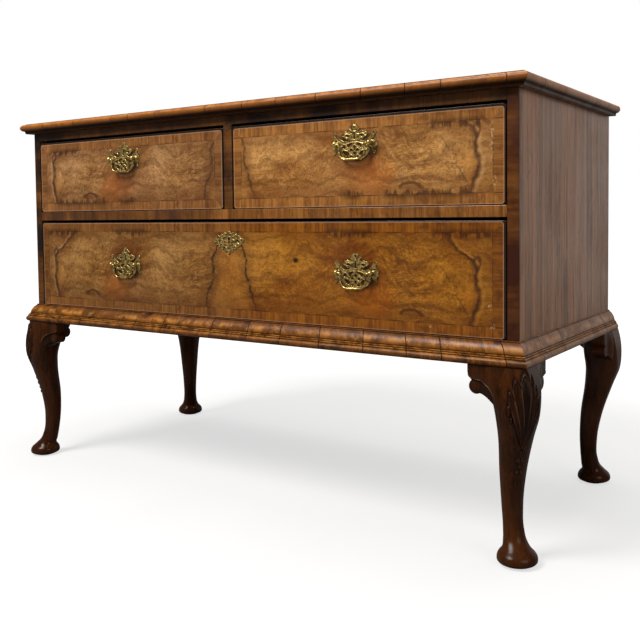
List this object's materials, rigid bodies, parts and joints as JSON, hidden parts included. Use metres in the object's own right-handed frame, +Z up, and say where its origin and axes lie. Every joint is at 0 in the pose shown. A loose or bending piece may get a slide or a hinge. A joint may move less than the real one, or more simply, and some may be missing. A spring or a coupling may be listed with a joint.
{
  "type": "chest of drawers",
  "caption": "Low walnut chest of drawers on cabriole legs with pad feet, small drawers over a long one, and pierced brass drop handles.",
  "frame": {"origin": "on the floor, under the middle of the whole chest", "axes": "+X to the chest's left-to-right as seen from the front, +Y from front to back, +Z up"},
  "size_m": [1.227, 0.5486, 0.766],
  "materials": {
    "burr_walnut": "waxed burr walnut veneer",
    "cross_grain_walnut": "waxed cross-grain walnut",
    "straight_grain_walnut": "waxed straight-grain walnut",
    "dark_walnut": "polished dark walnut",
    "oak_lining": "bare planed oak",
    "pine": "bare planed pine",
    "aged_brass": "worn and tarnished cast brass"
  },
  "bodies": {
    "carcass": {"back_boards": "pine", "bottom_board": "pine", "centre_partition": "pine", "centre_stile": "cross_grain_walnut", "drawer_kickers": "pine", "drawer_stops": "pine", "dust_board": "pine", "knee_brackets_front_left": "dark_walnut", "knee_brackets_front_right": "dark_walnut", "knee_brackets_rear_left": "dark_walnut", "knee_brackets_rear_right": "dark_walnut", "leg_front_left": "dark_walnut", "leg_front_right": "dark_walnut", "leg_rear_left": "dark_walnut", "leg_rear_right": "dark_walnut", "middle_rail": "cross_grain_walnut", "side_panel_left": "straight_grain_walnut", "side_panel_right": "straight_grain_walnut", "stand_rail_back": "pine", "stand_rail_front": "pine", "stand_rail_left": "pine", "stand_rail_right": "pine", "stile_facing_left": "cross_grain_walnut", "stile_facing_right": "cross_grain_walnut", "top_board": "cross_grain_walnut", "top_edge_front": "cross_grain_walnut", "top_edge_left": "cross_grain_walnut", "top_edge_right": "cross_grain_walnut", "top_rail": "cross_grain_walnut", "waist_moulding_front": "cross_grain_walnut", "waist_moulding_left": "cross_grain_walnut", "waist_moulding_right": "cross_grain_walnut"},
    "left_drawer": {"left_drawer_back": "oak_lining", "left_drawer_bottom": "oak_lining", "left_drawer_front": "burr_walnut", "left_drawer_side_left": "oak_lining", "left_drawer_side_right": "oak_lining", "pull_plate_left": "aged_brass", "pull_posts_left": "aged_brass"},
    "right_drawer": {"right_drawer_back": "oak_lining", "right_drawer_bottom": "oak_lining", "right_drawer_front": "burr_walnut", "right_drawer_side_left": "oak_lining", "right_drawer_side_right": "oak_lining", "pull_plate_right": "aged_brass", "pull_posts_right": "aged_brass"},
    "long_drawer": {"long_drawer_back": "oak_lining", "long_drawer_bottom": "oak_lining", "long_drawer_front": "burr_walnut", "long_drawer_side_left": "oak_lining", "long_drawer_side_right": "oak_lining", "pull_plate_long": "aged_brass", "pull_posts_long": "aged_brass", "escutcheon": "aged_brass", "lock_case": "aged_brass"},
    "left_bail": {"bail_left": "aged_brass"},
    "right_bail": {"bail_right": "aged_brass"},
    "long_left_bail": {"bail_long_left": "aged_brass"},
    "long_right_bail": {"bail_long_right": "aged_brass"},
    "long_lock_bolt": {"lock_bolt": "aged_brass"}
  },
  "joints": [
    {"name": "left_drawer_slide", "type": "slide", "parent": "carcass", "child": "left_drawer", "axis": [0, -1, 0], "range_m": [0, 0.35]},
    {"name": "right_drawer_slide", "type": "slide", "parent": "carcass", "child": "right_drawer", "axis": [0, -1, 0], "range_m": [0, 0.35]},
    {"name": "long_drawer_slide", "type": "slide", "parent": "carcass", "child": "long_drawer", "axis": [0, -1, 0], "range_m": [0, 0.35]},
    {"name": "left_bail_swing", "type": "hinge", "parent": "left_drawer", "child": "left_bail", "pos_m": [-0.28825, -0.25686, 0.673], "axis": [-1, 0, 0], "range_deg": [-12, 190]},
    {"name": "right_bail_swing", "type": "hinge", "parent": "right_drawer", "child": "right_bail", "pos_m": [0.28825, -0.25686, 0.673], "axis": [-1, 0, 0], "range_deg": [-12, 190]},
    {"name": "long_left_bail_swing", "type": "hinge", "parent": "long_drawer", "child": "long_left_bail", "pos_m": [-0.28825, -0.25686, 0.44975], "axis": [-1, 0, 0], "range_deg": [-12, 190]},
    {"name": "long_right_bail_swing", "type": "hinge", "parent": "long_drawer", "child": "long_right_bail", "pos_m": [0.28825, -0.25686, 0.44975], "axis": [-1, 0, 0], "range_deg": [-12, 190]},
    {"name": "lock_bolt_throw", "type": "slide", "parent": "long_drawer", "child": "long_lock_bolt", "axis": [0, 0, 1], "range_m": [0, 0.01]}
  ]
}
